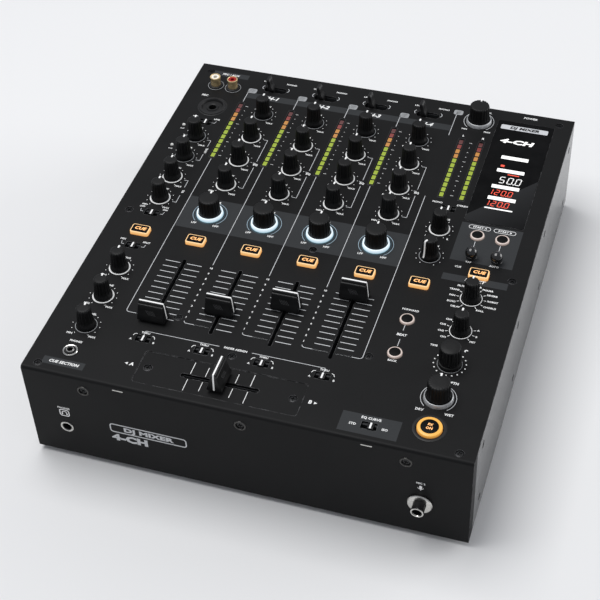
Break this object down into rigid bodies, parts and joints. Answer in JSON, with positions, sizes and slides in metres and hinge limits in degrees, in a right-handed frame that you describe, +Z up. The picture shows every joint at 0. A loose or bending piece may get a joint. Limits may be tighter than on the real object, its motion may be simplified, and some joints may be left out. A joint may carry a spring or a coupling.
{
  "type": "dj mixer",
  "caption": "Club DJ mixer: channel strips with knobs, faders and lit cue buttons, a crossfader, effects section with display, and panel sockets.",
  "frame": {"origin": "centre of the footprint, on the surface the feet stand on", "axes": "+X to the player's right, +Y from the front panel to the rear panel, +Z up out of the control panel"},
  "size_m": [0.32, 0.386, 0.1065],
  "materials": {
    "painted_top": "satin powder coat",
    "painted_case": "satin powder coat",
    "smoked_window": "polished",
    "foot_rubber": "matte",
    "black_screw": "black oxide",
    "led_lens": "satin",
    "light_ring": "translucent",
    "socket_metal": "polished",
    "control_housing": "matte",
    "board_green": "satin",
    "supply_parts": "satin",
    "cue_amber": "translucent",
    "button_cream": "translucent",
    "knob_black": "soft touch",
    "cap_black": "satin"
  },
  "bodies": {
    "root": {"top_cover": "painted_top", "base_chassis": "painted_case", "crossfader_plate": "painted_top", "display_window": "smoked_window", "feet": "foot_rubber", "case_screws": "black_screw", "meter_lenses": "led_lens", "light_rings": "light_ring", "sockets": "socket_metal", "control_bodies": "control_housing", "circuit_board": "board_green", "power_supply": "supply_parts"},
    "gain_knob_1": {"gain_knob_1": "knob_black"},
    "high_knob_1": {"high_knob_1": "knob_black"},
    "mid_knob_1": {"mid_knob_1": "knob_black"},
    "low_knob_1": {"low_knob_1": "knob_black"},
    "gain_knob_2": {"gain_knob_2": "knob_black"},
    "high_knob_2": {"high_knob_2": "knob_black"},
    "mid_knob_2": {"mid_knob_2": "knob_black"},
    "low_knob_2": {"low_knob_2": "knob_black"},
    "gain_knob_3": {"gain_knob_3": "knob_black"},
    "high_knob_3": {"high_knob_3": "knob_black"},
    "mid_knob_3": {"mid_knob_3": "knob_black"},
    "low_knob_3": {"low_knob_3": "knob_black"},
    "gain_knob_4": {"gain_knob_4": "knob_black"},
    "high_knob_4": {"high_knob_4": "knob_black"},
    "mid_knob_4": {"mid_knob_4": "knob_black"},
    "low_knob_4": {"low_knob_4": "knob_black"},
    "filter_knob_1": {"filter_knob_1": "knob_black"},
    "filter_knob_2": {"filter_knob_2": "knob_black"},
    "filter_knob_3": {"filter_knob_3": "knob_black"},
    "filter_knob_4": {"filter_knob_4": "knob_black"},
    "mic_level_knob": {"mic_level_knob": "knob_black"},
    "aux_level_knob": {"aux_level_knob": "knob_black"},
    "mic_high_knob": {"mic_high_knob": "knob_black"},
    "mic_low_knob": {"mic_low_knob": "knob_black"},
    "phones_mix_knob": {"phones_mix_knob": "knob_black"},
    "phones_tone_knob": {"phones_tone_knob": "knob_black"},
    "phones_level_knob": {"phones_level_knob": "knob_black"},
    "master_level_knob": {"master_level_knob": "knob_black"},
    "balance_knob": {"balance_knob": "knob_black"},
    "booth_level_knob": {"booth_level_knob": "knob_black"},
    "effect_select_knob": {"effect_select_knob": "knob_black"},
    "effect_channel_knob": {"effect_channel_knob": "knob_black"},
    "time_encoder": {"time_encoder": "knob_black"},
    "effect_depth_knob": {"effect_depth_knob": "knob_black"},
    "channel_fader_1": {"channel_fader_1": "cap_black"},
    "channel_fader_2": {"channel_fader_2": "cap_black"},
    "channel_fader_3": {"channel_fader_3": "cap_black"},
    "channel_fader_4": {"channel_fader_4": "cap_black"},
    "crossfader": {"crossfader": "cap_black"},
    "input_selector_1": {"input_selector_1": "knob_black"},
    "input_selector_2": {"input_selector_2": "knob_black"},
    "input_selector_3": {"input_selector_3": "knob_black"},
    "input_selector_4": {"input_selector_4": "knob_black"},
    "cue_buttons": {"cue_buttons": "cue_amber"},
    "round_buttons": {"round_buttons": "button_cream"},
    "effect_toggles": {"effect_toggles": "knob_black"},
    "slide_switches": {"slide_switches": "knob_black"},
    "power_switch": {"power_switch": "knob_black"}
  },
  "joints": [
    {"name": "gain_knob_1_turn", "type": "hinge", "parent": "root", "child": "gain_knob_1", "pos_m": [-0.0873, 0.1285, 0.089], "axis": [0, 0, 1], "range_deg": [-150, 150]},
    {"name": "high_knob_1_turn", "type": "hinge", "parent": "root", "child": "high_knob_1", "pos_m": [-0.0873, 0.0978, 0.089], "axis": [0, 0, 1], "range_deg": [-150, 150]},
    {"name": "mid_knob_1_turn", "type": "hinge", "parent": "root", "child": "mid_knob_1", "pos_m": [-0.0873, 0.0671, 0.089], "axis": [0, 0, 1], "range_deg": [-150, 150]},
    {"name": "low_knob_1_turn", "type": "hinge", "parent": "root", "child": "low_knob_1", "pos_m": [-0.0873, 0.0364, 0.089], "axis": [0, 0, 1], "range_deg": [-150, 150]},
    {"name": "gain_knob_2_turn", "type": "hinge", "parent": "root", "child": "gain_knob_2", "pos_m": [-0.0435, 0.1285, 0.089], "axis": [0, 0, 1], "range_deg": [-150, 150]},
    {"name": "high_knob_2_turn", "type": "hinge", "parent": "root", "child": "high_knob_2", "pos_m": [-0.0435, 0.0978, 0.089], "axis": [0, 0, 1], "range_deg": [-150, 150]},
    {"name": "mid_knob_2_turn", "type": "hinge", "parent": "root", "child": "mid_knob_2", "pos_m": [-0.0435, 0.0671, 0.089], "axis": [0, 0, 1], "range_deg": [-150, 150]},
    {"name": "low_knob_2_turn", "type": "hinge", "parent": "root", "child": "low_knob_2", "pos_m": [-0.0435, 0.0364, 0.089], "axis": [0, 0, 1], "range_deg": [-150, 150]},
    {"name": "gain_knob_3_turn", "type": "hinge", "parent": "root", "child": "gain_knob_3", "pos_m": [0.0003, 0.1285, 0.089], "axis": [0, 0, 1], "range_deg": [-150, 150]},
    {"name": "high_knob_3_turn", "type": "hinge", "parent": "root", "child": "high_knob_3", "pos_m": [0.0003, 0.0978, 0.089], "axis": [0, 0, 1], "range_deg": [-150, 150]},
    {"name": "mid_knob_3_turn", "type": "hinge", "parent": "root", "child": "mid_knob_3", "pos_m": [0.0003, 0.0671, 0.089], "axis": [0, 0, 1], "range_deg": [-150, 150]},
    {"name": "low_knob_3_turn", "type": "hinge", "parent": "root", "child": "low_knob_3", "pos_m": [0.0003, 0.0364, 0.089], "axis": [0, 0, 1], "range_deg": [-150, 150]},
    {"name": "gain_knob_4_turn", "type": "hinge", "parent": "root", "child": "gain_knob_4", "pos_m": [0.0441, 0.1285, 0.089], "axis": [0, 0, 1], "range_deg": [-150, 150]},
    {"name": "high_knob_4_turn", "type": "hinge", "parent": "root", "child": "high_knob_4", "pos_m": [0.0441, 0.0978, 0.089], "axis": [0, 0, 1], "range_deg": [-150, 150]},
    {"name": "mid_knob_4_turn", "type": "hinge", "parent": "root", "child": "mid_knob_4", "pos_m": [0.0441, 0.0671, 0.089], "axis": [0, 0, 1], "range_deg": [-150, 150]},
    {"name": "low_knob_4_turn", "type": "hinge", "parent": "root", "child": "low_knob_4", "pos_m": [0.0441, 0.0364, 0.089], "axis": [0, 0, 1], "range_deg": [-150, 150]},
    {"name": "filter_knob_1_turn", "type": "hinge", "parent": "root", "child": "filter_knob_1", "pos_m": [-0.0873, 0.0003, 0.089], "axis": [0, 0, 1], "range_deg": [-150, 150]},
    {"name": "filter_knob_2_turn", "type": "hinge", "parent": "root", "child": "filter_knob_2", "pos_m": [-0.0435, 0.0003, 0.089], "axis": [0, 0, 1], "range_deg": [-150, 150]},
    {"name": "filter_knob_3_turn", "type": "hinge", "parent": "root", "child": "filter_knob_3", "pos_m": [0.0003, 0.0003, 0.089], "axis": [0, 0, 1], "range_deg": [-150, 150]},
    {"name": "filter_knob_4_turn", "type": "hinge", "parent": "root", "child": "filter_knob_4", "pos_m": [0.0441, 0.0003, 0.089], "axis": [0, 0, 1], "range_deg": [-150, 150]},
    {"name": "mic_level_knob_turn", "type": "hinge", "parent": "root", "child": "mic_level_knob", "pos_m": [-0.1314, 0.0873, 0.089], "axis": [0, 0, 1], "range_deg": [-150, 150]},
    {"name": "aux_level_knob_turn", "type": "hinge", "parent": "root", "child": "aux_level_knob", "pos_m": [-0.1314, 0.061, 0.089], "axis": [0, 0, 1], "range_deg": [-150, 150]},
    {"name": "mic_high_knob_turn", "type": "hinge", "parent": "root", "child": "mic_high_knob", "pos_m": [-0.1314, 0.0346, 0.089], "axis": [0, 0, 1], "range_deg": [-150, 150]},
    {"name": "mic_low_knob_turn", "type": "hinge", "parent": "root", "child": "mic_low_knob", "pos_m": [-0.1314, 0.0082, 0.089], "axis": [0, 0, 1], "range_deg": [-150, 150]},
    {"name": "phones_mix_knob_turn", "type": "hinge", "parent": "root", "child": "phones_mix_knob", "pos_m": [-0.1314, -0.0735, 0.089], "axis": [0, 0, 1], "range_deg": [-150, 150]},
    {"name": "phones_tone_knob_turn", "type": "hinge", "parent": "root", "child": "phones_tone_knob", "pos_m": [-0.1314, -0.1042, 0.089], "axis": [0, 0, 1], "range_deg": [-150, 150]},
    {"name": "phones_level_knob_turn", "type": "hinge", "parent": "root", "child": "phones_level_knob", "pos_m": [-0.1314, -0.135, 0.089], "axis": [0, 0, 1], "range_deg": [-150, 150]},
    {"name": "master_level_knob_turn", "type": "hinge", "parent": "root", "child": "master_level_knob", "pos_m": [0.0853, 0.1647, 0.089], "axis": [0, 0, 1], "range_deg": [-150, 150]},
    {"name": "balance_knob_turn", "type": "hinge", "parent": "root", "child": "balance_knob", "pos_m": [0.0853, 0.0295, 0.089], "axis": [0, 0, 1], "range_deg": [-150, 150]},
    {"name": "booth_level_knob_turn", "type": "hinge", "parent": "root", "child": "booth_level_knob", "pos_m": [0.0853, -0.001, 0.089], "axis": [0, 0, 1], "range_deg": [-300, 0]},
    {"name": "effect_select_knob_turn", "type": "hinge", "parent": "root", "child": "effect_select_knob", "pos_m": [0.1246, -0.0368, 0.089], "axis": [0, 0, 1], "range_deg": [-150, 150]},
    {"name": "effect_channel_knob_turn", "type": "hinge", "parent": "root", "child": "effect_channel_knob", "pos_m": [0.1246, -0.07, 0.089], "axis": [0, 0, 1], "range_deg": [-150, 150]},
    {"name": "time_encoder_turn", "type": "hinge", "parent": "root", "child": "time_encoder", "pos_m": [0.1246, -0.1025, 0.089], "axis": [0, 0, 1], "continuous": true},
    {"name": "effect_depth_knob_turn", "type": "hinge", "parent": "root", "child": "effect_depth_knob", "pos_m": [0.1246, -0.1348, 0.089], "axis": [0, 0, 1], "range_deg": [-150, 150]},
    {"name": "channel_fader_1_slide", "type": "slide", "parent": "root", "child": "channel_fader_1", "axis": [0, 1, 0], "range_m": [0, 0.06]},
    {"name": "channel_fader_2_slide", "type": "slide", "parent": "root", "child": "channel_fader_2", "axis": [0, 1, 0], "range_m": [-0.0186, 0.0414]},
    {"name": "channel_fader_3_slide", "type": "slide", "parent": "root", "child": "channel_fader_3", "axis": [0, 1, 0], "range_m": [-0.0354, 0.0246]},
    {"name": "channel_fader_4_slide", "type": "slide", "parent": "root", "child": "channel_fader_4", "axis": [0, 1, 0], "range_m": [-0.0588, 0.0012]},
    {"name": "crossfader_slide", "type": "slide", "parent": "root", "child": "crossfader", "axis": [1, 0, 0], "range_m": [-0.0225, 0.0225]},
    {"name": "input_selector_1_tilt", "type": "hinge", "parent": "root", "child": "input_selector_1", "pos_m": [-0.0882, 0.1625, 0.076], "axis": [0, 1, 0], "range_deg": [0, 24]},
    {"name": "input_selector_2_tilt", "type": "hinge", "parent": "root", "child": "input_selector_2", "pos_m": [-0.0444, 0.1625, 0.076], "axis": [0, 1, 0], "range_deg": [0, 24]},
    {"name": "input_selector_3_tilt", "type": "hinge", "parent": "root", "child": "input_selector_3", "pos_m": [-0.0006, 0.1625, 0.076], "axis": [0, 1, 0], "range_deg": [0, 24]},
    {"name": "input_selector_4_tilt", "type": "hinge", "parent": "root", "child": "input_selector_4", "pos_m": [0.0432, 0.1625, 0.076], "axis": [0, 1, 0], "range_deg": [0, 24]},
    {"name": "cue_buttons_press", "type": "slide", "parent": "root", "child": "cue_buttons", "axis": [0, 0, -1], "range_m": [0, 0.0008], "stiffness_N_per_m": 400, "springref_m": -0.0015},
    {"name": "round_buttons_press", "type": "slide", "parent": "root", "child": "round_buttons", "axis": [0, 0, -1], "range_m": [0, 0.0008], "stiffness_N_per_m": 400, "springref_m": -0.0015},
    {"name": "effect_toggles_flip", "type": "hinge", "parent": "root", "child": "effect_toggles", "pos_m": [0.1246, 0.0055, 0.0895], "axis": [1, 0, 0], "range_deg": [-40, 0]},
    {"name": "slide_switches_slide", "type": "slide", "parent": "root", "child": "slide_switches", "axis": [1, 0, 0], "range_m": [-0.002, 0.002]},
    {"name": "power_switch_rock", "type": "hinge", "parent": "root", "child": "power_switch", "pos_m": [0.125, 0.181, 0.061], "axis": [1, 0, 0], "range_deg": [0, 12]}
  ]
}
